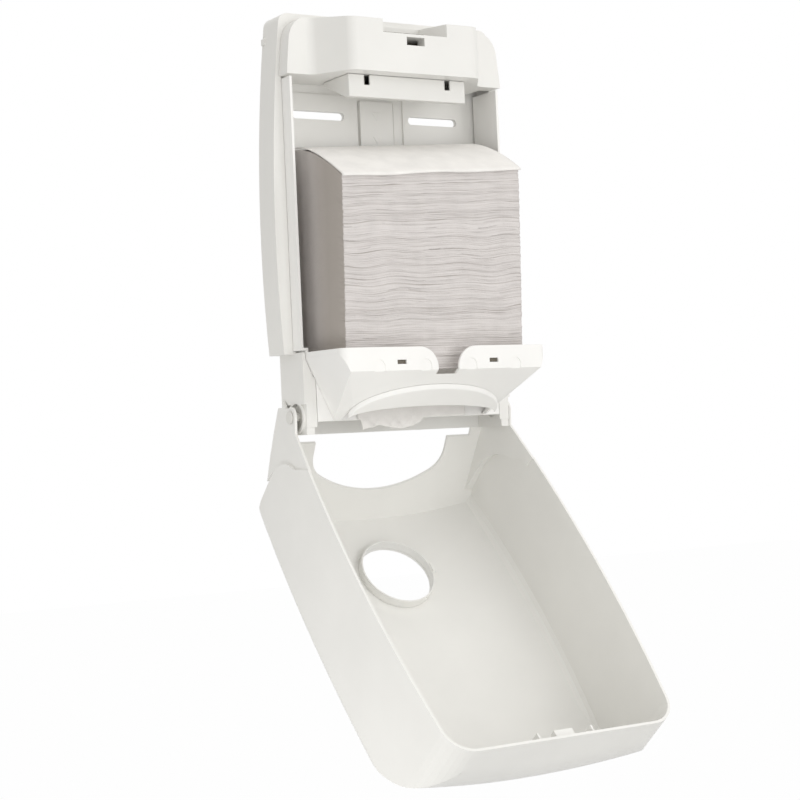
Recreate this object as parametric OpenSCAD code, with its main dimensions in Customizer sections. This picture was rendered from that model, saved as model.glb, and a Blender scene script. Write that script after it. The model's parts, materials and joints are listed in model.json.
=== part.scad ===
// Wall dispenser for interfolded paper towels, shown open for filling.
// Units are millimetres. X runs to the right, Y into the wall and Z up.
// The wall is the plane Y = 0 and the origin is the centre of the four wall slots.
// Heights in the tables below are measured up from the cover's hinge axis,
// and depths are measured out from the wall.

/* [Body] */
// widest width of the frame and cover
body_w = 265; // [255:1:285]
// how far each side draws in at the top and bottom
side_drop = 12; // [11:0.25:12.5]
// top of the frame and cover above the hinge
body_top = 384.5; // [381:0.5:388]
// bottom of the frame below the hinge
body_low = 17; // [15:1:19]
// depth of the frame's outer wall
frame_d = 31; // [29:0.5:32]
// wall thickness of the frame and cover
wall_t = 2.5; // [2:0.25:3]
// width of the flat ledge inside the outer wall
ledge_w = 13; // [12.75:0.25:13.5]
// radius of the frame's upper corners
corner_r = 10; // [9:1:12]

/* [Wall slots] */
// distance between slot centres across the wall
slot_dx = 132; // [124:1:138]
// distance between slot centres up the wall
slot_dz = 200; // [190:1:210]
// end to end length of a slot
slot_len = 58; // [50:1:62]
// width of a slot
slot_w = 8; // [6:0.5:9]

/* [Cover] */
// how far the cover stands open in the photographed pose
open_deg = 137.5; // [130:0.5:140]
// hinge axis out from the wall
hinge_d = 28; // [27:0.5:29]
// front of the cover out from the hinge axis, at the middle
cover_d = 132; // [128:1:138]
// radius of the cover's front seen from above
front_r = 600; // [480:10:640]
// radius of the roll from the cover's front to its top
brow_r = 96; // [88:1:98]
// radius of the sight hole
sight_r = 37.5; // [30:0.5:38]
// height of the sight hole above the hinge
sight_h = 102; // [95:1:115]
// radius of a hinge pin
pin_r = 4; // [3.5:0.25:4.5]

/* [Magazine] */
// front of the tray's lip out from the wall
lip_d = 118; // [115:0.5:121]
// top of the lip above the hinge
lip_top = 61; // [58:0.5:64]
// height of the lip's upright band
lip_band = 22; // [20:0.5:24]
// front of the inner rims out from the wall
rim_d = 47; // [44:0.5:50]
// half width of the towel mouth
mouth_x = 82; // [79:0.5:84]
// depth of the towel mouth, front to back
mouth_d = 33.5; // [32:0.5:35]

/* [Lock] */
// front of the lock housing out from the wall
lock_d = 85; // [80:0.5:88]
// height of the lock housing's underside
lock_low = 325; // [322:0.5:328]
// fall of the lock housing's top from its back to its front
lock_fall = 5.5; // [5:0.1:6.5]
// half width of the catch notch
notch_x = 36; // [32:0.5:40]
// travel of the lock bar
bar_lift = 6; // [4.5:0.25:6.5]

/* [Towels] */
// side gap between the towels and the tray
towel_gap = 11.7; // [9:0.1:16]
// front of the stack out from the wall
stack_d = 105; // [98:0.5:107]
// height of the stack's front edge, at the middle
stack_h = 229; // [190:1:230]
// lean of the stack's top, down to the left
stack_lean = 3.6; // [0:0.1:3.8]

/* [Clearances] */
// gap between neighbouring plastic pieces
gap = 0.3; // [0.2:0.05:0.4]
// radial gap of a hinge pin in its bush
run_gap = 0.06; // [0.03:0.01:0.1]
// side gap between the cover's ears and the frame
ear_gap = 3.1; // [2.9:0.1:3.3]

/* [Hidden] */
$fn = 64;
e = 1;
hinge_z = -195;
slot_h = -hinge_z;
plate_t = 3;
mid_h = 172;
half_w = body_w / 2;
bow_r = (200 * 200 + side_drop * side_drop) / (2 * side_drop);
hinge_w = side_x(0);
ear_step = 0.5;
ear_rise = 4.9;
ear_turn = 5;
ear_out = hinge_w - ear_step;
head_r = 6;
head_off = head_r * sqrt(pow(tan(ear_rise), 2) + pow(tan(ear_turn), 2)) + 0.1;
ear_in = ear_out - wall_t;
cheek_x = ear_in - ear_gap;
foot_h = 60;
cheek_t = 2.5;
cheek_d = 46;
leg_in = 2;
boss_r = 15.5;
boss_x = cheek_x - 10.5;
bush_r = 12.4;
bush_t = 2;
bush_in = 5;
barrel_r = 7.5;
rim_y = frame_d + 1 - hinge_d;
floor_a = 21.3;
tip_y = -113.5;
tip_z = 17;
cut_y = -45.5;
cut_x = ear_in - 44;
cut_wide = ear_in - 17;
strip_y = -36;
rim_t = 2.5;
corner_n = 8;
cover_r = 28;
frame_top = body_top + 2;
lip_low = lip_top - lip_band;
tray_x = cheek_x - cheek_t - 1.2;
lip_r = 9;
rim_x = tray_x + 2.6;
rim_low = foot_h + wall_t + gap;
well_x = rim_x + rim_t + gap;
tray_in = tray_x - rim_t;
lip_in = 7;
lip_rise = 16;
apron_d = rim_d - 0.5;
shelf_h = lip_top - 16;
shelf_x = tray_in - lip_in + (shelf_h - wall_t - lip_low) * lip_in / lip_rise - gap;
apron_low = 5;
apron_x = tray_in - lip_in - gap;
hop_d = apron_d + gap;
hop_low = -4;
hop_front = hop_d + 13.2;
hop_x = mouth_x - 9;
hop_back_x = mouth_x + 5;
mouth_c = hop_d + 22;
slope_a = atan2(lip_low - hop_low, lip_d - hop_front);
oval_n = 40;
collar_t = 4.5;
collar_w = 21;
finger_x = 31.5;
finger_r = 20;
window_x = 46.5;
window_w = 10;
window_h = lip_low + 6;
dimple_r = 6.5;
wing_d = rim_d + 1;
wing_in = wall_t + 1.2;
back_x = half_w - side_drop - ledge_w;
ramp_a = 58;
brow_in = 12;
brow_n = 8;
ease_r = 10;
face_x = 76;
lock_top = body_top - wing_in + 0.2;
notch_low = lock_top - 18.2;
key_low = notch_low - 10.8;
key_w = 20;
key_h = 8;
key_t = 1.2;
key_d = 13;
bar_x = 26;
bar_d0 = 50;
bar_d1 = 60;
bar_top = notch_low + 7;
bar_low = key_low;
tooth_low = bar_top + bar_lift / 2;
towel_w = 2 * (tray_in - towel_gap);
stack_y0 = plate_t + 11;
stack_knee = 120;
crown_n = 8;
crown_rise = 36;
crown_roll = 1.5;
sheet_t = 1.2;
tail_x = 0.31 * towel_w;
tail_x0 = -0.285 * towel_w;
tail_w = 0.325 * towel_w;
tail_low = 15;
pad_x = slot_dx / 2 - slot_len / 2 - 6;
pad_w = slot_len + 13;
spine_x = 19;
spine_t = 2.5;
spine_low = foot_h + 6;
spine_top = lock_low - 13;
arrow_w = 10;
arrow_t = 0.6;
edge_in = 15;
edge_back = 27;
cut_r = 128;
cut_ease = 25;
cut_front = 97.5;
carrier_d = 67;
carrier_x = 66;
carrier_back = 17;
carrier_h = 22;
carrier_foot = 7;
ring_t = 1.5;
ring_h = 10;
catch_l = cover_d - brow_r - rim_y - 4;
catch_x = 29.5;
snap_x = 42.6;
snap_y = wall_t + 6 - carrier_d;
snap_w = 6;

// half width of the bowed outline at a height
function side_x(h) = half_w - bow_r + sqrt(bow_r * bow_r - pow(h - mid_h, 2));

// points along an arc, in steps
function arc_2d(x, y, r, a0, a1, steps) =
    [for (i = [0:steps]) let (a = a0 + (a1 - a0) * i / steps) [x + r * cos(a), y + r * sin(a)]];

// the same points on the other side, last first
function mirrored(list) =
    [for (i = [1:len(list)]) [-list[len(list) - i][0], list[len(list) - i][1]]];

module up() translate([0, 0, hinge_z]) children();

// extrudes a front view out from the wall, between two depths
module from_front(d0, d1)
    up() translate([0, -d0, 0]) rotate([90, 0, 0]) linear_extrude(d1 - d0) children();

// extrudes a side view, drawn as Y and height, between two X values
module from_side(x0, x1)
    translate([x0, 0, 0]) rotate([90, 0, 90]) linear_extrude(x1 - x0) children();

// extrudes a plan view between two heights
module from_top(h0, h1)
    up() translate([0, 0, h0]) linear_extrude(h1 - h0) children();

module both_sides() {
    children();
    mirror([1, 0, 0]) children();
}

// carries a piece drawn closed, about the hinge axis, to the open cover
module on_cover()
    up() translate([0, -hinge_d, 0]) rotate([open_deg, 0, 0]) children();

// front view with bowed sides and rounded upper corners, drawn in by an inset
module barrel(inset, low, top, bend_r = cover_r) {
    r = bend_r - min(inset, bend_r - 2);
    cz = top - r;
    cx = half_w - bow_r + sqrt(pow(bow_r - inset - r, 2) - pow(cz - mid_h, 2));
    bend = arc_2d(cx, cz, r, 90 / corner_n, 90, corner_n - 1);
    lead = [bend[0][0] + 30 * sin(11), bend[0][1] - 30 * cos(11)];
    right = concat([[half_w + 20, low], [half_w + 20, cz - 30], lead], bend);
    intersection() {
        for_bow(inset);
        polygon(concat(right, mirrored(right)));
    }
}

module for_bow(inset)
    intersection() {
        translate([half_w - bow_r, mid_h]) rotate(180) circle(bow_r - inset, $fn = 360);
        translate([bow_r - half_w, mid_h]) circle(bow_r - inset, $fn = 360);
    }

module slot_2d()
    for (sx = [-1, 1], sz = [-1, 1])
        translate([sx * slot_dx / 2, slot_h + sz * slot_dz / 2]) {
            square([slot_len - slot_w, slot_w], center = true);
            for (k = [-1, 1]) translate([k * (slot_len - slot_w) / 2, 0]) circle(d = slot_w);
        }

module hinge_axis(x0, x1, r)
    up() translate([x0, -hinge_d, 0]) rotate([0, 90, 0]) cylinder(r = r, h = x1 - x0);

// moulded back with its outer wall, ledge, hinge cheeks and wall slots
module wall_frame() color("#e9e8e4") difference() {
    union() {
        from_front(0, plate_t) barrel(0, foot_h, frame_top, corner_r);
        from_front(0, plate_t) translate([leg_in - cheek_x, -body_low])
            square([2 * (cheek_x - leg_in), foot_h + body_low + e]);
        difference() {
            from_front(0, frame_d) barrel(0, foot_h, frame_top, corner_r);
            from_front(-e, frame_d - wall_t) barrel(wall_t, foot_h + wall_t, frame_top - wall_t, corner_r);
            from_front(-e, frame_d + e) translate([-well_x, foot_h + wall_t])
                square([2 * well_x, lock_low + 15 - foot_h - wall_t]);
            from_front(-e, frame_d + e) translate([-tray_x - gap, foot_h - e])
                square([2 * (tray_x + gap), 2 * wall_t]);
            from_front(-e, frame_d + e) translate([-back_x - 2, lock_low])
                square([2 * back_x + 4, body_top - ledge_w - lock_low]);
        }
        both_sides() from_front(0, plate_t + 2) translate([pad_x, foot_h + 10])
            square([pad_w, lock_low - foot_h - 19]);
        both_sides() from_front(0, cheek_d) translate([cheek_x - cheek_t, 12])
            square([cheek_t, foot_h - 12 + e]);
        both_sides() hinge_axis(boss_x, cheek_x, boss_r);
        both_sides() from_front(0, cheek_d - e) translate([boss_x, -body_low])
            square([cheek_x - leg_in - boss_x, body_low + 12 + e]);
        both_sides() from_front(cheek_d - wall_t, cheek_d) translate([apron_x + 2 * gap, -10])
            square([cheek_x - leg_in - apron_x - 2 * gap, lip_low + 9]);
        both_sides() from_front(cheek_d - wall_t, cheek_d) polygon([
            [cheek_x - leg_in, lip_low - 2], [cheek_x - leg_in, foot_h],
            [tray_x + 2 * gap, foot_h], [tray_x + 2 * gap, lip_low + lip_rise],
            [tray_x - lip_in + 2 * gap, lip_low], [tray_x - lip_in + 2 * gap, lip_low - 2]
        ]);
        both_sides() from_front(0, 6) translate([side_x(363) - 1, 360]) square([2.5, 6]);
    }
    from_front(-e, 20) slot_2d();
    both_sides() from_front(plate_t / 2, plate_t + e) translate([spine_x + gap, spine_low])
        square([1.6, spine_top - spine_low]);
    both_sides() hinge_axis(boss_x - e, cheek_x + e, barrel_r + gap / 10);
    both_sides() hinge_axis(cheek_x - bush_in, cheek_x + e, bush_r + gap);
}

// one turned bush that a hinge pin runs in
module bush() difference() {
    union() {
        hinge_axis(boss_x + e, cheek_x - bush_in + e, barrel_r);
        hinge_axis(cheek_x - bush_in, cheek_x - bush_in + bush_t, bush_r);
    }
    hinge_axis(boss_x, cheek_x + 5, pin_r + run_gap);
}

module hinge_bush_right() color("#dcdad4") bush();

module hinge_bush_left() color("#dcdad4") mirror([1, 0, 0]) bush();

// strip down the middle of the back, with two fill arrows
module spine_strip() color("#e4e3de") {
    from_front(plate_t, plate_t + spine_t) translate([-spine_x, spine_low])
        square([2 * spine_x, spine_top - spine_low]);
    for (h = [spine_top - 35, spine_top - 11])
        from_front(plate_t + spine_t, plate_t + spine_t + arrow_t)
            polygon([[-arrow_w / 2, h], [arrow_w / 2, h], [0, h - 0.8 * arrow_w]]);
}

// plan view of the lock housing, drawn in by an inset
module hat_2d(inset) {
    r = brow_in - inset;
    cx = face_x - brow_in;
    cy = brow_in - lock_d;
    wy = inset - wing_d;
    vx = cx + r * sin(ramp_a) + (wy - cy + r * cos(ramp_a)) / tan(ramp_a);
    wx = half_w - inset;
    bx = back_x - inset;
    by = -frame_d - gap;
    ease = ease_r + inset;
    right = concat(
        arc_2d(cx, cy, r, -90, ramp_a - 90, brow_n),
        arc_2d(vx + ease * tan(ramp_a / 2), wy - ease, ease, 90 + ramp_a, 90, 5),
        [[wx, wy], [wx, by], [bx, by], [bx, -plate_t - gap]]
    );
    polygon(concat(right, mirrored(right)));
}

// solid of the lock housing, its top sloping down to the front
module lock_body(inset) intersection() {
    from_top(lock_low + inset, body_top) hat_2d(inset);
    union() {
        from_front(0, frame_d + gap + e) translate([inset - back_x, lock_low - e])
            square([2 * (back_x - inset), body_top - ledge_w - lock_low - inset]);
        from_front(frame_d + gap + inset, lock_d + e)
            barrel(wing_in + inset, lock_low - e, lock_top - inset);
    }
    from_side(-half_w, half_w) translate([0, hinge_z - inset]) polygon([
        [0, lock_low - e], [0, lock_top], [-frame_d, lock_top],
        [-lock_d, lock_top - lock_fall], [-lock_d - e, lock_low - e]
    ]);
}

module lock_housing() color("#f3f2ee") difference() {
    union() {
        difference() {
            lock_body(0);
            intersection() {
                lock_body(wall_t);
                from_top(lock_low, body_top) translate([-half_w, -lock_d])
                    square([body_w, lock_d - 10]);
            }
        }
        intersection() {
            lock_body(0);
            from_top(notch_low - wall_t, body_top) translate([-notch_x - wall_t, -lock_d])
                square([2 * (notch_x + wall_t), lock_d - frame_d - gap]);
        }
        from_top(bar_low - wall_t - gap, bar_low - gap)
            translate([-bar_x - 3, -lock_d + wall_t / 2]) square([2 * bar_x + 6, lock_d - 30]);
        from_top(key_low - key_t, key_low + key_h + key_t)
            translate([-key_w / 2 - key_t, e - lock_d]) square([key_w + 2 * key_t, key_d - e]);
        both_sides() from_top(bar_low - wall_t, bar_top)
            translate([bar_x + gap, -bar_d1 - 3]) square([wall_t, bar_d1 - bar_d0 + 6]);
    }
    from_top(notch_low, body_top) translate([-notch_x, -lock_d - e])
        square([2 * notch_x, lock_d - frame_d - gap - wall_t + e]);
    from_top(notch_low - wall_t - e, notch_low + e) translate([-bar_x - gap, -bar_d1 - gap])
        square([2 * (bar_x + gap), bar_d1 - bar_d0 + 2 * gap]);
    from_top(key_low, key_low + key_h) translate([-key_w / 2, -lock_d - e])
        square([key_w, key_d + 2 * e]);
    both_sides() from_top(lock_low - e, lock_low + wall_t + e)
        translate([snap_x, snap_y]) square([snap_w, 5]);
}

// bar that rises behind the catch to lock the cover
module lock_bar() color("#c9c8bf") {
    from_top(bar_low, bar_top) translate([-bar_x, -bar_d1])
        square([2 * bar_x, bar_d1 - bar_d0]);
}

// hollow wedge under the housing, held by two snap tongues
module wedge_2d(inset)
    polygon([
        [-carrier_back - 2 * inset, lock_low + hinge_z - gap + inset],
        [inset - carrier_d, lock_low + hinge_z - gap + inset],
        [inset - carrier_d, lock_low + hinge_z - carrier_h + inset],
        [inset - carrier_d + carrier_foot, lock_low + hinge_z - carrier_h + inset],
        [-carrier_back - 2 * inset, lock_low + hinge_z - 3 - gap]
    ]);

module lock_carrier() color("#eeede9") difference() {
    from_side(-carrier_x, carrier_x) wedge_2d(0);
    from_side(wall_t - carrier_x, carrier_x - wall_t) wedge_2d(wall_t);
    both_sides() from_front(carrier_d - wall_t - e, carrier_d + e)
        translate([snap_x, lock_low - 10]) square([snap_w, 12]);
}

module tongue() {
    from_top(lock_low - 9, lock_low + wall_t + 1) translate([snap_x + gap, snap_y + gap])
        square([snap_w - 2 * gap, 5 - 2 * gap]);
    from_top(lock_low + wall_t, lock_low + wall_t + 2) translate([snap_x - 2, snap_y - 2])
        square([snap_w + 4, 9]);
}

module snap_tongue_right() color("#dcdad4") tongue();

module snap_tongue_left() color("#dcdad4") mirror([1, 0, 0]) tongue();

// solid of the towel funnel under the lip
module funnel(inset) up() hull() {
    translate([inset + lip_in - tray_x, inset - lip_d, lip_low])
        cube([2 * (tray_x - lip_in - inset), lip_d - hop_d - inset, 0.2]);
    translate([inset - hop_x, inset - hop_front, hop_low])
        cube([2 * (hop_x - inset), hop_front - hop_d - inset, 0.2]);
    translate([inset - hop_back_x, -hop_d - 0.2, hop_low])
        cube([2 * (hop_back_x - inset), 0.2, 0.2]);
}

// front half of an oval about the middle of the mouth
function half_oval(x, d) =
    [for (i = [0:oval_n]) let (a = 180 * i / oval_n) [x * cos(a), -mouth_c - d * sin(a)]];

module mouth_2d()
    polygon(concat(
        half_oval(mouth_x, mouth_d - mouth_c + hop_d),
        [[-mouth_x, 10 - hop_d], [mouth_x, 10 - hop_d]]
    ));

// finger notch in the middle of the lip
module lip_notch_2d() {
    low_x = finger_x - finger_r;
    translate([-low_x, lip_low - 4]) square([2 * low_x, lip_band + 10]);
    difference() {
        translate([-finger_x, lip_top - finger_r]) square([2 * finger_x, finger_r + 6]);
        translate([-finger_x, lip_top - finger_r]) rotate(180) circle(finger_r);
        translate([finger_x, lip_top - finger_r]) circle(finger_r);
    }
}

// front view of the tray, its sides leaning in towards the funnel
module tray_2d(inset, over)
    polygon([
        [inset - tray_x, lip_top + over], [tray_x - inset, lip_top + over],
        [tray_x - inset, lip_low + lip_rise], [tray_x - inset - lip_in, lip_low - over],
        [inset + lip_in - tray_x, lip_low - over], [inset - tray_x, lip_low + lip_rise]
    ]);

// plan view of the tray, rounded at its front corners
module tray_plan_2d(inset) {
    right = concat(
        arc_2d(tray_x - lip_r, lip_r - lip_d, lip_r - inset, -90, 0, 6),
        [[tray_x - inset, -plate_t - gap]]
    );
    polygon(concat(right, mirrored(right)));
}

// solid of the tray's upright band
module tray(inset, over) intersection() {
    from_front(plate_t + gap, lip_d) tray_2d(inset, over);
    from_top(lip_low - over, lip_top + over) tray_plan_2d(inset);
}

// inner rims and the funnel tray under them, one moulding
module towel_magazine() color("#f6f5f1") difference() {
    union() {
        both_sides() from_front(plate_t + 2.2, rim_d) {
            translate([rim_x, rim_low]) square([rim_t, lock_low - 2 - rim_low]);
            translate([tray_in, rim_low]) square([rim_x + rim_t - tray_in, rim_t]);
            translate([tray_in, lip_top - e]) square([rim_t, rim_low + rim_t - lip_top + e]);
        }
        difference() {
            tray(0, 0);
            tray(rim_t, e);
            from_front(0, plate_t + 2 * gap) tray_2d(rim_t, e);
        }
        difference() {
            funnel(0);
            translate([0, e, e]) funnel(rim_t);
            translate([0, 0, 3 * e]) funnel(rim_t);
        }
    }
    from_top(hop_low - 5, lip_low - 5) mouth_2d();
    from_front(lip_d - 20, lip_d + e) lip_notch_2d();
    both_sides() from_front(lip_d - 4, lip_d + e) translate([window_x, window_h])
        square([window_w, 4]);
    for (k = [-3, -1, 1, 3]) from_front(lip_d - 0.8, lip_d + e) translate([k * 25.4, lip_low]) {
        translate([0, 4]) circle(dimple_r);
        translate([-dimple_r, 0]) square([2 * dimple_r, 4]);
    }
}

// floor under the back of the stack, with the apron behind the mouth
module towel_shelf() color("#efeeea") {
    from_top(shelf_h - wall_t, shelf_h) translate([-shelf_x, -apron_d])
        square([2 * shelf_x, apron_d - plate_t - spine_t - gap]);
    from_front(apron_d - wall_t, apron_d) translate([-apron_x, -apron_low])
        square([2 * apron_x, shelf_h + apron_low - e]);
}

// clip that shows in a window of the lip
module clip() {
    from_front(lip_d - 6, lip_d - 2.2) translate([window_x + gap, window_h + gap])
        square([window_w - 2 * gap, 4 - 2 * gap]);
    from_front(lip_d - 6, lip_d - rim_t - gap) translate([window_x - 2, window_h - 3])
        square([window_w + 4, 10]);
}

module lip_clip_right() color("#e4e3de") clip();

module lip_clip_left() color("#e4e3de") mirror([1, 0, 0]) clip();

// raised crescent round the front of the towel mouth
module mouth_collar() color("#fafaf7") intersection() {
    from_top(hop_low, lip_low + 6) difference() {
        polygon(half_oval(mouth_x + 2, mouth_d - mouth_c + hop_d + collar_w));
        mouth_2d();
    }
    up() translate([0, -lip_d, lip_low]) rotate([-slope_a, 0, 0])
        translate([-half_w, 0, -collar_t]) cube([body_w, lip_d, collar_t - gap]);
}

// closed form of the cover, drawn in by an inset
module cover_solid(inset, back) intersection() {
    translate([0, -back, 0]) rotate([90, 0, 0]) linear_extrude(cover_d + 80)
        barrel(inset, -80, body_top - inset);
    translate([0, front_r - cover_d, 0]) rotate_extrude($fn = 180) {
        translate([0, -80]) square([front_r - inset, 80 + body_top - brow_r]);
        translate([0, -80]) square([front_r - brow_r, 80 + body_top - inset]);
        translate([front_r - brow_r, body_top - brow_r]) circle(brow_r - inset, $fn = 180);
    }
    translate([0, tip_y, tip_z]) rotate([-floor_a, 0, 0])
        translate([-half_w, -500, inset]) cube([body_w, 1000, 1000]);
    soft_edge(23, inset);
    mirror([1, 0, 0]) soft_edge(23, inset);
    soft_edge(46, inset);
    mirror([1, 0, 0]) soft_edge(46, inset);
}

// eases the edge between the cover's side and front, at one angle
module soft_edge(a, inset) {
    far = (half_w - edge_in) * cos(a) + (cover_d - edge_back) * sin(a) + edge_in;
    r = bow_r / (cos(a) - 0.35 * sin(a));
    rotate([0, 0, -a]) translate([far - r, 0, mid_h]) rotate([90, 180, 0])
        cylinder(r = r - inset, h = 900, center = true, $fn = 360);
}

// side view of the area where the cover steps in to form an ear
module ear_area_2d(grow, back = 0) difference() {
    polygon([
        [back - rim_y, 64 + grow], [back - rim_y, -60], [tip_y + 10, -60],
        [tip_y + 10, 14 + grow], [-69, 12.5 + grow], [-29, 40 + grow]
    ]);
    translate([-69, 57.5 + grow]) circle(45);
}

module ear_2d() {
    circle(10);
    intersection() {
        union() {
            ear_area_2d(2);
            translate([-rim_y - 12, -30]) square([12, 94]);
        }
        translate([tip_y, tip_z]) rotate(-floor_a) square([400, 400]);
    }
    polygon([[-rim_y - 2, 20], [8, 6], [8, -6], [-9, -19], [-18, -30], [-43, -23], [-69, -14.5], [-95, -4]]);
}

module cover_cut_2d() {
    mid_y = cut_r - cut_front;
    side = cut_x - cut_ease;
    low = mid_y - sqrt(pow(cut_r - cut_ease, 2) - side * side);
    turn = atan2(low - mid_y, side);
    bend = arc_2d(side, low, cut_ease, turn, 0, 8);
    right = concat(
        arc_2d(0, mid_y, cut_r, -88, turn, 11), [for (i = [1:8]) bend[i]], [[cut_x, 0]]
    );
    polygon(concat(right, mirrored(right)));
    translate([-cut_wide, cut_y]) square([2 * cut_wide, cover_d]);
}

// slab over an ear, between two X values, following the bow and turning in to the front
module ear_slab(x0, x1)
    translate([ear_out, 0, 0]) rotate([0, ear_rise, -ear_turn]) translate([-ear_out, 0, 0])
        from_side(x0, x1) children();

module front_cover() color("#e6e5df") on_cover() difference() {
    union() {
        difference() {
            cover_solid(0, rim_y);
            cover_solid(wall_t, -40);
        }
        both_sides() intersection() {
            cover_solid(0, rim_y);
            ear_slab(ear_in, half_w + 20) ear_area_2d(wall_t, e);
        }
        both_sides() ear_slab(ear_in, ear_out) ear_2d();
    }
    both_sides() ear_slab(ear_out, half_w + 20) ear_area_2d(0, e);
    translate([0, 0, -60]) linear_extrude(95) cover_cut_2d();
    both_sides() ear_slab(cut_x, ear_in) translate([strip_y, -60]) square([cover_d, 95]);
    translate([0, -cover_d - 5, sight_h]) rotate([-90, 0, 0]) cylinder(r = sight_r, h = 30);
    both_sides() translate([ear_in - e, 0, 0]) rotate([0, 90, 0])
        cylinder(r = pin_r + run_gap, h = wall_t + 2 * e);
}

module pin() on_cover() {
    translate([boss_x + 3, 0, 0]) rotate([0, 90, 0])
        cylinder(r = pin_r, h = ear_out + head_off + e - boss_x - 3);
    translate([ear_out + head_off, 0, 0]) rotate([0, 90, 0]) cylinder(r = head_r, h = 1.5);
}

module hinge_pin_right() color("#d8d6d0") pin();

module hinge_pin_left() color("#d8d6d0") mirror([1, 0, 0]) pin();

// collar round the sight hole, on the inside of the cover
module sight_ring() color("#e2e1dc") on_cover() intersection() {
    translate([0, wall_t - cover_d, sight_h]) rotate([-90, 0, 0]) difference() {
        union() {
            cylinder(r = sight_r + ring_t, h = ring_h);
            translate([sight_r + ring_t / 3, -5, 0]) cube([2 * ring_t, 10, ring_h + ring_t]);
        }
        translate([0, 0, -e]) cylinder(r = sight_r, h = 20);
    }
    translate([0, front_r - cover_d, 0])
        cylinder(r = front_r - wall_t - gap, h = 2 * sight_h, $fn = 180);
}

// hooked catch under the cover's upper edge
module latch_catch() color("#dddbd5") on_cover() {
    top = body_top - wall_t;
    translate([-catch_x, -rim_y - catch_l, top - 2]) cube([2 * catch_x, catch_l - 3, 2]);
    translate([-catch_x / 3, -rim_y - 12, tooth_low]) cube([catch_x / 1.5, 7, top - tooth_low]);
    both_sides() translate([catch_x - 2, -rim_y - catch_l, top - 8]) cube([2, catch_l - 3, 8]);
}

// points along the crown of the stack, from back to front
function crown(i) = let (t = i / crown_n) [
    -stack_y0 - t * (stack_d - stack_y0 - crown_roll), stack_h + crown_rise * (1 - pow(t, 1.6))
];

// leans what lies on the stack's top, down to the left
module lean()
    translate([0, 0, hinge_z + stack_h]) rotate([0, -stack_lean, 0])
        translate([0, 0, -stack_h]) children();

// block of folded towels, its top sagging to the front and left
module towel_stack() color("#e9e2d8") intersection() {
    up() from_side(-towel_w / 2, towel_w / 2) polygon([
        [-stack_y0, shelf_h + gap], [8 - stack_d, shelf_h + gap], [4 - stack_d, stack_knee],
        [-stack_d, stack_h - 12], [-stack_d, stack_h + 60], [-stack_y0, stack_h + 60]
    ]);
    lean() from_side(-half_w, half_w) polygon(concat(
        [[e - stack_y0, 0], [e - stack_y0, crown(0)[1]]],
        [for (i = [1:crown_n]) crown(i)],
        [[-stack_d - e, stack_h - 14], [-stack_d - e, 0]]
    ));
}

// loose sheet lying on the stack
module top_towel() color("#f1ece4") lean() from_side(-towel_w / 2, towel_w / 2)
    polygon(concat(
        [for (i = [0:crown_n]) [crown(i)[0], crown(i)[1] + gap]],
        [for (i = [0:crown_n]) let (p = crown(crown_n - i)) [p[0], p[1] + gap + sheet_t]]
    ));

// next towel, hanging in the mouth with a crumpled end below it
module towel_tail() color("#f1ece4") from_front(apron_d + sheet_t, apron_d + 2 * sheet_t)
    polygon([
        [-tail_x, shelf_h], [-tail_x, -apron_low], [tail_x0, -apron_low], [tail_x0, -tail_low],
        [tail_x0 + tail_w, -tail_low], [tail_x0 + tail_w, -apron_low], [tail_x, -apron_low],
        [tail_x, shelf_h]
    ]);

wall_frame();
spine_strip();
lock_housing();
lock_bar();
lock_carrier();
snap_tongue_left();
snap_tongue_right();
towel_magazine();
towel_shelf();
lip_clip_left();
lip_clip_right();
mouth_collar();
hinge_bush_left();
hinge_bush_right();
hinge_pin_left();
hinge_pin_right();
front_cover();
sight_ring();
latch_catch();
towel_stack();
top_towel();
towel_tail();
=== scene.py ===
"""Looks of a wall dispenser for interfolded paper towels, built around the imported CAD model."""
import json
import math
import random

import bpy
from mathutils import Matrix, Vector


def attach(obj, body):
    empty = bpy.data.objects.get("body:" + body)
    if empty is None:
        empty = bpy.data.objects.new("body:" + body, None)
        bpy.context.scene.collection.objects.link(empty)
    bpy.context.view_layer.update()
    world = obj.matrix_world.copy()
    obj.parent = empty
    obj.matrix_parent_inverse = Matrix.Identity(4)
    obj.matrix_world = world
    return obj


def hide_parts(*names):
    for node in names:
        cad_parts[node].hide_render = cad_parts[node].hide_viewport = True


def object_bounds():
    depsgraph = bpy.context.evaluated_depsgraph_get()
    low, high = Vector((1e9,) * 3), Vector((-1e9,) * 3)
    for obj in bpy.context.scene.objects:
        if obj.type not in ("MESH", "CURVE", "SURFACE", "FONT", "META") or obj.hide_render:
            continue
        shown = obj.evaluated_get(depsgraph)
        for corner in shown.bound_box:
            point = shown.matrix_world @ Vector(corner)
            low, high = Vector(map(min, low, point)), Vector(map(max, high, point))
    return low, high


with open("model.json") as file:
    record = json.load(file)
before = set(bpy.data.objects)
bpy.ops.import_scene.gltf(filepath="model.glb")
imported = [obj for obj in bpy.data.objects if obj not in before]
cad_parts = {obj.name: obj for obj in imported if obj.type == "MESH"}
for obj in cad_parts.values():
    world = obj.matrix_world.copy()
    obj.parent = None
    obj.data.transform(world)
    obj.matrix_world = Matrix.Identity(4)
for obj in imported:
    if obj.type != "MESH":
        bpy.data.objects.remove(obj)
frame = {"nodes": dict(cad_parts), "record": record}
cad_low, cad_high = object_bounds()
nodes = frame["nodes"]
scene = bpy.context.scene
scene.view_settings.view_transform = "Standard"

MM = 0.001
HINGE_Z = -195.0  # height of the cover's hinge in the shared frame, mm


def point(x, depth, height):
    """A point given by its side, depth out from the wall and height over the hinge, in mm."""
    return Vector((x * MM, -depth * MM, (height + HINGE_Z) * MM))


def clamp(value):
    return min(1.0, max(0.0, value))


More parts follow.
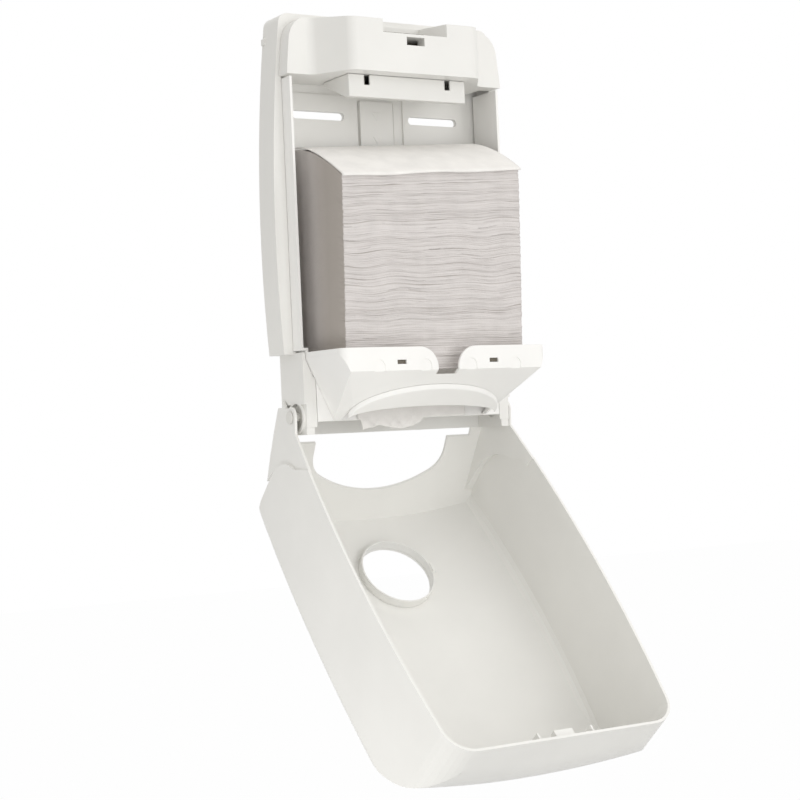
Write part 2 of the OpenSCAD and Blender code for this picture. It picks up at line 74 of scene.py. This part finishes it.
def along(line, x):
    """Value at x of a line through (x, value) points; past its end, the last value."""
    for (x0, v0), (x1, v1) in zip(line, line[1:]):
        if x <= x1:
            return v0 + (v1 - v0) * (x - x0) / (x1 - x0)
    return line[-1][1]


# Camera, fitted to the photograph's edges
CAMERA_AT = (-921.2, 1543.3, -13.2)
CAMERA_YAW, CAMERA_PITCH, CAMERA_ROLL = 31.266, -0.852, -2.557
CAMERA_LENS, CAMERA_SENSOR, CAMERA_REACH = 81, 36, 60


def add_camera():
    yaw, pitch, roll = (math.radians(a) for a in (CAMERA_YAW, CAMERA_PITCH, CAMERA_ROLL))
    ahead = Vector((
        math.sin(yaw) * math.cos(pitch), math.cos(yaw) * math.cos(pitch), -math.sin(pitch)
    ))
    level = Vector((math.cos(yaw), -math.sin(yaw), 0))
    above = level.cross(ahead)
    right = level * math.cos(roll) + above * math.sin(roll)
    up = above * math.cos(roll) - level * math.sin(roll)
    data = bpy.data.cameras.new("camera")
    data.sensor_width = CAMERA_SENSOR
    data.lens = CAMERA_LENS
    data.clip_end = CAMERA_REACH
    camera = bpy.data.objects.new("camera", data)
    turn = Matrix((right, up, -ahead)).transposed().to_4x4()
    camera.matrix_world = Matrix.Translation(point(*CAMERA_AT)) @ turn
    scene.collection.objects.link(camera)
    scene.camera = camera


# Light
LAMPS = (  # name, place and target in mm, size in m, power in W
    ("key", (900, 1900, 620), (0, 60, 20), 1.5, 8),
    ("top", (150, 700, 1700), (0, 60, 0), 1.4, 4),
    ("low_front", (-200, 1700, -480), (0, 60, -50), 1.4, 7.5),
    ("low_fill", (-620, 260, -440), (-110, 190, -270), 0.5, 1.2),
)
WHITE = (1, 1, 1, 1)
SKY_COLOR, SKY_STRENGTH = (1.0, 0.99, 0.97, 1), 0.76
FLOOR_DROP, FLOOR_HALF = 0.6, 8  # m; the floor lies below the lowest lamp
FLOOR_COLOR, FLOOR_GLOW = (0.55, 0.55, 0.545, 1), 0.985


def add_area(name, place, target, size, power):
    data = bpy.data.lights.new(name, "AREA")
    data.shape = "DISK"
    data.size = size
    data.energy = power
    lamp = bpy.data.objects.new(name, data)
    lamp.location = point(*place)
    lamp.rotation_mode = "QUATERNION"
    lamp.rotation_quaternion = (point(*target) - point(*place)).to_track_quat("-Z", "Y")
    scene.collection.objects.link(lamp)


def seen_directly(tree):
    """1 for rays that show the background, straight or in a gloss, and 0 for diffuse light."""
    path = tree.nodes.new("ShaderNodeLightPath")
    total = path.outputs["Is Camera Ray"]
    for name in ("Is Glossy Ray", "Is Transmission Ray"):
        most = tree.nodes.new("ShaderNodeMath")
        most.operation = "MAXIMUM"
        tree.links.new(total, most.inputs[0])
        tree.links.new(path.outputs[name], most.inputs[1])
        total = most.outputs[0]
    return total


def source(tree, kind, color, strength):
    node = tree.nodes.new(kind)
    node.inputs["Color"].default_value = color
    node.inputs["Strength"].default_value = strength
    return node


def blend(tree, share, lit, seen, out):
    """Sends a mix of two shaders to an output: lit where share is 0, and seen where it is 1."""
    mix = tree.nodes.new("ShaderNodeMixShader")
    tree.links.new(share, mix.inputs["Fac"])
    tree.links.new(lit.outputs[0], mix.inputs[1])
    tree.links.new(seen.outputs[0], mix.inputs[2])
    tree.links.new(mix.outputs[0], out.inputs["Surface"])


def add_world():
    world = bpy.data.worlds.new("studio")
    scene.world = world
    world.use_nodes = True
    tree = world.node_tree
    tree.nodes.clear()
    out = tree.nodes.new("ShaderNodeOutputWorld")
    seen = source(tree, "ShaderNodeBackground", WHITE, 1)
    light = source(tree, "ShaderNodeBackground", SKY_COLOR, SKY_STRENGTH)
    blend(tree, seen_directly(tree), light, seen, out)


def add_floor():
    mesh = bpy.data.meshes.new("floor")
    level = cad_low.z - FLOOR_DROP
    sides = ((-1, -1), (1, -1), (1, 1), (-1, 1))
    mesh.from_pydata([(x * FLOOR_HALF, y * FLOOR_HALF, level) for x, y in sides], [], [(0, 1, 2, 3)])
    floor = bpy.data.objects.new("floor", mesh)
    scene.collection.objects.link(floor)
    material = bpy.data.materials.new("floor_paper")
    material.use_nodes = True
    tree = material.node_tree
    tree.nodes.clear()
    out = tree.nodes.new("ShaderNodeOutputMaterial")
    matte = tree.nodes.new("ShaderNodeBsdfDiffuse")
    matte.inputs["Color"].default_value = FLOOR_COLOR
    glow = source(tree, "ShaderNodeEmission", WHITE, 1)
    share = tree.nodes.new("ShaderNodeMath")
    share.operation = "MULTIPLY"
    share.inputs[1].default_value = FLOOR_GLOW
    tree.links.new(seen_directly(tree), share.inputs[0])
    blend(tree, share.outputs[0], matte, glow, out)
    mesh.materials.append(material)


# Materials
PAINTED_SHADE_MIX = "painted_shade_mix"  # attribute of the stack: 1 leaves the paper's own colour, as on a fold; less paints shade into the grooves and onto the cut sides
MIX_A, MIX_B, MIX_RESULT = 6, 7, 2  # colour sockets of a mix node
NOISE_LOW, NOISE_HIGH = 0.3, 0.7  # where most of a noise's values lie


def noise(tree, coord, scale, detail, stretch=None):
    """A noise over the object's own coordinates, in metres, with an optional stretch."""
    if stretch:
        place = tree.nodes.new("ShaderNodeMapping")
        place.inputs["Scale"].default_value = stretch
        tree.links.new(coord, place.inputs["Vector"])
        coord = place.outputs["Vector"]
    texture = tree.nodes.new("ShaderNodeTexNoise")
    texture.inputs["Scale"].default_value = scale
    texture.inputs["Detail"].default_value = detail
    tree.links.new(coord, texture.inputs["Vector"])
    return texture.outputs["Fac"]


def ramp(tree, value, stops):
    node = tree.nodes.new("ShaderNodeValToRGB")
    first, last = node.color_ramp.elements
    (first.position, first.color), (last.position, last.color) = stops
    tree.links.new(value, node.inputs["Fac"])
    return node.outputs["Color"]


def span(tree, value, low, high):
    """Spreads a noise over the range from low to high."""
    node = tree.nodes.new("ShaderNodeMapRange")
    node.inputs["From Min"].default_value = NOISE_LOW
    node.inputs["From Max"].default_value = NOISE_HIGH
    node.inputs["To Min"].default_value = low
    node.inputs["To Max"].default_value = high
    tree.links.new(value, node.inputs["Value"])
    return node.outputs["Result"]


def bump(tree, height, strength, distance, normal=None):
    node = tree.nodes.new("ShaderNodeBump")
    node.inputs["Strength"].default_value = strength
    node.inputs["Distance"].default_value = distance
    tree.links.new(height, node.inputs["Height"])
    if normal:
        tree.links.new(normal, node.inputs["Normal"])
    return node.outputs["Normal"]


def start_material(name):
    material = bpy.data.materials.new(name)
    material.use_nodes = True
    tree = material.node_tree
    shader = tree.nodes["Principled BSDF"]
    coord = tree.nodes.new("ShaderNodeTexCoord").outputs["Object"]
    return material, tree, shader, coord


def tint(color, k):
    return (color[0] * k, color[1] * k, color[2] * k, 1)


def plastic(name, color, rough):
    """Moulded plastic: a slight drift of tone, uneven gloss, soft sink marks and a fine grain."""
    material, tree, shader, coord = start_material(name)
    drift = noise(tree, coord, scale=14, detail=3)
    tones = [(NOISE_LOW, tint(color, 0.975)), (NOISE_HIGH, tint(color, 1.015))]
    tree.links.new(ramp(tree, drift, tones), shader.inputs["Base Color"])
    gloss = noise(tree, coord, scale=90, detail=4)
    tree.links.new(span(tree, gloss, rough - 0.05, rough + 0.06), shader.inputs["Roughness"])
    marks = noise(tree, coord, scale=22, detail=1)
    sink = bump(tree, marks, strength=0.12, distance=0.0012)
    grain = noise(tree, coord, scale=2400, detail=2)
    fine = bump(tree, grain, strength=0.05, distance=0.0002, normal=sink)
    tree.links.new(fine, shader.inputs["Normal"])
    shader.inputs["Specular IOR Level"].default_value = 0.4
    return material


def paper(name, light, painted_shade_color=None):
    """Tissue paper: cloudy pulp, short fibres and a matte face; given a second colour, it paints
    shade into the grooves and onto the cut sides by the stack's mix attribute.
    """
    material, tree, shader, coord = start_material(name)
    cloud = noise(tree, coord, scale=60, detail=5)
    pulp = ramp(tree, cloud, [(NOISE_LOW, tint(light, 0.95)), (0.72, tint(light, 1.03))])
    if painted_shade_color:
        painted_shade_mix = tree.nodes.new("ShaderNodeAttribute")
        painted_shade_mix.attribute_name = PAINTED_SHADE_MIX
        mix = tree.nodes.new("ShaderNodeMix")
        mix.data_type = "RGBA"
        tree.links.new(painted_shade_mix.outputs["Fac"], mix.inputs["Factor"])
        mix.inputs[MIX_A].default_value = tint(painted_shade_color, 1)
        tree.links.new(pulp, mix.inputs[MIX_B])
        pulp = mix.outputs[MIX_RESULT]
    tree.links.new(pulp, shader.inputs["Base Color"])
    shader.inputs["Roughness"].default_value = 0.95
    shader.inputs["Specular IOR Level"].default_value = 0.15
    fibres = noise(tree, coord, scale=650, detail=4, stretch=(1, 1, 0.6))
    fine = bump(tree, fibres, strength=0.45, distance=0.0006)
    soft = bump(tree, cloud, strength=0.2, distance=0.0006, normal=fine)
    tree.links.new(soft, shader.inputs["Normal"])
    return material


# Moulded edges
WELD_GAP = 2e-5  # m
FLAT_ANGLE, EDGE_ANGLE = 0.4, 32  # degrees: faces joined as flat, and edges that are rounded
EDGE_STEPS = 3


def soften(name, width):
    """Rounds a CAD node's sharp edges as a mould does, and shades what is left smoothly."""
    node = nodes[name]
    for face in node.data.polygons:
        face.use_smooth = True
    weld = node.modifiers.new("weld", "WELD")
    weld.merge_threshold = WELD_GAP
    plain = node.modifiers.new("plain", "DECIMATE")
    plain.decimate_type = "DISSOLVE"
    plain.angle_limit = math.radians(FLAT_ANGLE)
    bevel = node.modifiers.new("soft_edges", "BEVEL")
    bevel.width = width * MM
    bevel.segments = EDGE_STEPS
    bevel.limit_method = "ANGLE"
    bevel.angle_limit = math.radians(EDGE_ANGLE)
    bevel.use_clamp_overlap = True
    normals = node.modifiers.new("normals", "WEIGHTED_NORMAL")
    normals.mode = "FACE_AREA_WITH_ANGLE"
    normals.keep_sharp = False


# Towels, in mm
STACK_HALF = 99.6
STACK_BACK = 14.0
STACK_FRONT = 105.0
STACK_LOW = 45.3
STACK_H = 229.0
LEAN = math.tan(math.radians(3.6))
CROWN_RISE, CROWN_BEND, CROWN_EASE, CROWN_REACH = 36, 1.6, 1.5, 1.06
FRONT_LINE = ((45.3, 97), (120, 101), (217, 104.6), (260, 104.2))  # height, depth

LAYERS_H = 184
LAYER_SIZES = (0.9, 1.2, 1.4, 1.7, 2.1, 2.9)
LAYER_STEPS = (0.0, 0.28, 0.72)  # rings of a layer: its groove, and its swell's two edges
COLUMNS = 150
SIDE_STEPS = (0.006, 0.17, 0.34, 0.5, 0.67, 0.84)  # points of a ring's side, front to back
DENT_X, DENT_IN, DENT_HALF = -9, 0.6, 5

TAIL_HALF = 61.5
TAIL_TOP = 44.6
TAIL_DEPTH = 48.2
TAIL_END = (  # side and height of its lower edge: a crumpled end, and the straight fold beside it
    (-61.5, -4.4), (-57.8, -4.6), (-57.0, -14.6), (-47, -12.8), (-37, -10.6), (-25, -13.6),
    (-14, -15.0), (-3, -13.2), (8.0, -9.6), (13, -5.0), (17, -4.4), (61.5, -4.4),
)


def crown(x, depth):
    """Height of the stack's top, which sags to the front and leans down to the left."""
    t = (depth - STACK_BACK) / (STACK_FRONT - STACK_BACK - CROWN_EASE)
    t = min(max(t, 0.0), CROWN_REACH)
    return STACK_H + CROWN_RISE * (1 - t ** CROWN_BEND) + LEAN * x


def add_piece(name, verts, faces, body, material):
    mesh = bpy.data.meshes.new(name)
    mesh.from_pydata(verts, [], faces)
    mesh.validate()
    for face in mesh.polygons:
        face.use_smooth = True
    piece = bpy.data.objects.new(name, mesh)
    scene.collection.objects.link(piece)
    mesh.materials.append(material)
    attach(piece, body)
    return piece


def thicken(piece, thickness, offset):
    solid = piece.modifiers.new("paper", "SOLIDIFY")
    solid.thickness = thickness * MM
    solid.offset = offset


def sheet_faces(rows, columns):
    """Faces of a sheet whose points run in rows, each of columns + 1 points."""
    starts = [i * (columns + 1) + j for i in range(rows) for j in range(columns)]
    return [(a, a + columns + 1, a + columns + 2, a + 1) for a in starts]


def wave(rng, count, low, high):
    """A smooth random curve made of a few sines, about -1 to 1."""
    parts = [
        (rng.uniform(low, high), rng.uniform(0, math.tau), rng.uniform(0.5, 1)) for _ in range(count)
    ]
    total = sum(p[2] for p in parts)
    return lambda x: sum(a * math.sin(math.tau * x / w + s) for w, s, a in parts) / total


def painted_side_light(t):
    """Mix of the cut sides: dark to the front, partly for the browner cut edges and partly as
    painted shade; painted lighter to the back, to offset the shade where the frame's rim keeps light
    off them.
    """
    return 0.22 + 0.78 * clamp((t - 0.42) / 0.4)


def add_cap(ring, up, verts, painted_shade_mixes, faces):
    """Closes the stack's top or bottom with a grid between the ring's two sides."""
    deep = len(SIDE_STEPS)
    right = ring[COLUMNS:COLUMNS + deep]
    left = ring[2 * COLUMNS + deep:][::-1]
    grid = [ring[:COLUMNS]]
    for a, b in zip(left, right):
        inner = range(len(verts), len(verts) + COLUMNS - 2)
        verts.extend(
            [verts[a].lerp(verts[b], j / (COLUMNS - 1)) for j in range(1, COLUMNS - 1)]
        )
        painted_shade_mixes.extend([1.0] * len(inner))
        grid.append([a, *inner, b])
    grid.append(ring[COLUMNS + deep:2 * COLUMNS + deep][::-1])
    for near, far in zip(grid, grid[1:]):
        for j in range(COLUMNS - 1):
            quad = (near[j], near[j + 1], far[j + 1], far[j])
            faces.append(quad if up else quad[::-1])


def add_stack(material):
    """The folded towels: uneven folds with a soft dent, smooth cut sides and a sagging front."""
    rng = random.Random(11)
    layers = []
    while sum(layers) < LAYERS_H:
        layers.append(rng.choice(LAYER_SIZES) * rng.uniform(0.85, 1.2))
    total = sum(layers)
    broad, swing = wave(rng, 3, 110, 190), wave(rng, 3, 45, 85)
    ridge = wave(rng, 4, 25, 80)
    verts, painted_shade_mixes, rings = [], [], []
    level = 0.0
    for k, thick in enumerate(layers):
        own, fade, drift = wave(rng, 3, 20, 90), wave(rng, 3, 35, 130), wave(rng, 3, 30, 140)
        push = rng.gauss(0, 0.35)
        groove = rng.uniform(0.9, 1.5) if rng.random() < 0.2 else rng.uniform(0.25, 0.8)
        slip = rng.uniform(-0.32, 0.32)
        left = STACK_HALF + rng.uniform(-0.9, 0.1)
        right = STACK_HALF + rng.uniform(-0.9, 0.1)
        last = k == len(layers) - 1
        path = [(-left + (left + right) * j / (COLUMNS - 1), 0.0) for j in range(COLUMNS)]
        path += [(STACK_HALF, t) for t in SIDE_STEPS]
        path += [(STACK_HALF - 2 * STACK_HALF * j / (COLUMNS - 1), 1.0) for j in range(COLUMNS)]
        path += [(-STACK_HALF, t) for t in reversed(SIDE_STEPS)]
        for s in LAYER_STEPS + (1.0,) * last:
            f = (level + thick * s) / total
            grooved = s in (0.0, 1.0)

            def height(side, depth, own_share=1.0):
                """Height of this ring, which sags in front, sways and drifts by its own line."""
                sag = 5.2 * clamp((depth - 58) / 40) * (1 - f) ** 6
                top = crown(side, depth) - 0.7
                sway = 2.9 * broad(side + 40 * f) + 1.5 * swing(side + 60 * f)
                sway *= math.sin(math.pi * min(f * 1.05, 1.0)) ** 0.8 * (0.35 + 0.65 * own_share)
                own_line = 0.45 * thick * drift(side) + slip * math.tanh((side - DENT_X) / 4)
                ease = min(1.0, f * 4, (1 - f) * 8)
                shift = (sway + 0.6 * own_share * own_line) * ease
                return STACK_LOW - sag + (top - STACK_LOW) * f + shift

            ring = []
            for side, t in path:
                cut = groove * (0.62 + 0.38 * fade(side)) if grooved else 0.0
                near = along(FRONT_LINE, height(side, 100)) + push * 0.5
                near += 0.4 * own(side) + 0.3 * ridge(side) - 0.8 * cut
                near -= DENT_IN * math.exp(-(((side - DENT_X) / DENT_HALF) ** 2))
                near = min(near, STACK_FRONT)
                depth = near + (STACK_BACK + 0.4 - near) * t
                ring.append(len(verts))
                verts.append(point(side, depth, height(side, depth, 1.0 if t == 0 else 0.0)))
                # painted shade: on the front the grooves are painted darker the deeper they are cut;
                # on the cut sides the value is set by how deep the point lies
                painted_shade_mixes.append(painted_side_light(t) if t > 0 else max(0.0, 1 - 0.7 * cut))
            rings.append(ring)
        level += thick
    faces = []
    count = len(rings[0])
    for low, high in zip(rings, rings[1:]):
        for j in range(count):
            n = (j + 1) % count
            faces.append((low[j], low[n], high[n], high[j]))
    add_cap(rings[0], False, verts, painted_shade_mixes, faces)
    add_cap(rings[-1], True, verts, painted_shade_mixes, faces)
    stack = add_piece("towel_layers", verts, faces, "stack", material)
    data = stack.data.attributes.new(PAINTED_SHADE_MIX, "FLOAT", "POINT")
    data.data.foreach_set("value", painted_shade_mixes)
    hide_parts("towel_stack")


def add_top(material):
    """The sheet on top: smooth, a little wider than the stack, curling over its front edge."""
    rng = random.Random(5)
    columns, rows = 72, 44
    ripple, slow = wave(rng, 4, 40, 120), wave(rng, 3, 60, 140)
    bend = STACK_FRONT + 0.4
    verts = []
    for i in range(rows + 1):
        t = i / rows
        for j in range(columns + 1):
            s = j / columns
            x = -99.9 + 200.9 * s
            back = 14.2 + 4.5 * s
            over = 3.2 + 0.8 * ripple(x)
            run = back + (STACK_FRONT + 0.7 + over - back) * t
            spill = max(0.0, run - STACK_FRONT - 0.4)
            depth = min(run, bend + 1.1 * math.sin(min(spill / 2.2, 1.57)))
            height = crown(x, min(depth, STACK_FRONT)) + 0.75 - 0.82 * spill
            height += 0.35 * ripple(x + 0.4 * run) * t + 0.3 * slow(run + 0.2 * x)
            verts.append(point(x, depth, height))
    faces = sheet_faces(rows, columns)
    top = add_piece("top_sheet", verts, faces, "stack", material)
    thicken(top, 0.5, 1)
    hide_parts("top_towel")


def add_tail(material):
    """The next towel, hanging across the mouth in front of the apron with a crumpled end."""
    rng = random.Random(3)
    columns, rows = 123, 40
    fray, hang = wave(rng, 4, 5, 16), wave(rng, 3, 40, 90)
    crease, pinch = wave(rng, 4, 9, 26), wave(rng, 3, 7, 18)
    verts = []
    for i in range(rows + 1):
        t = i / rows
        for j in range(columns + 1):
            x = -TAIL_HALF + 2 * TAIL_HALF * j / columns
            edge = along(TAIL_END, x)
            loose = clamp((-5.5 - edge) / 4)
            end = edge + 0.5 * fray(x) * (0.3 + loose)
            height = TAIL_TOP + (end - TAIL_TOP) * t
            low = clamp((-2.5 - height) / 7) * loose
            crumple = 1.1 * crease(x + 0.7 * height) + 0.8 * pinch(x - 0.9 * height) + 0.4
            depth = TAIL_DEPTH + 0.35 * hang(x + 0.3 * height) * t
            depth += low * crumple
            verts.append(point(x, depth, height))
    faces = sheet_faces(rows, columns)
    tail = add_piece("towel_end", verts, faces, "tail", material)
    thicken(tail, 0.4, 0)
    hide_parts("towel_tail")


FINISHES = {  # slot: colour, roughness
    "frame_plastic": ((0.84, 0.832, 0.803), 0.44),
    "magazine_plastic": ((0.92, 0.912, 0.89), 0.42),
    "cover_plastic": ((0.845, 0.838, 0.808), 0.4),
    "clip_plastic": ((0.76, 0.75, 0.715), 0.46),
    # painted shade: lock_plastic is near black so the parts behind the lip's windows show as dark as
    # the shade inside them
    "lock_plastic": ((0.15, 0.13, 0.1), 0.5),
}
# Radius of each node's moulded edges, mm. front_cover keeps its imported normals instead.
EDGES = {
    "wall_frame": 0.8, "spine_strip": 0.4, "lock_housing": 1.6, "lock_bar": 0.8,
    "lock_carrier": 0.9, "snap_tongue_left": 0.3, "snap_tongue_right": 0.3,
    "towel_magazine": 0.9, "towel_shelf": 0.7, "lip_clip_left": 0.5, "lip_clip_right": 0.5,
    "mouth_collar": 1.2, "hinge_bush_left": 0.5, "hinge_bush_right": 0.5,
    "hinge_pin_left": 0.5, "hinge_pin_right": 0.5, "sight_ring": 0.6, "latch_catch": 0.4,
}

add_camera()
add_world()
add_floor()
for lamp_values in LAMPS:
    add_area(*lamp_values)

finishes = {slot: plastic(slot, color, rough) for slot, (color, rough) in FINISHES.items()}
for entry in frame["record"]["subparts"]:
    slot = entry["material_slot"]
    if slot in finishes:
        node = nodes[entry["node"]]
        node.data.materials.clear()
        node.data.materials.append(finishes[slot])
for name, width in EDGES.items():
    soften(name, width)

# painted shade: the stack's paper is darker than the sheet_paper of the top and the tail, for the
# shade between its folded sheets; its second colour is painted shade in the grooves and, with the
# browner cut edges, on the cut sides
shaded_stack_paper = paper("towel_paper", (0.71, 0.675, 0.66), (0.37, 0.33, 0.29))
sheet_paper = paper("sheet_paper", (0.9, 0.88, 0.85))
add_stack(shaded_stack_paper)
add_top(sheet_paper)
add_tail(sheet_paper)
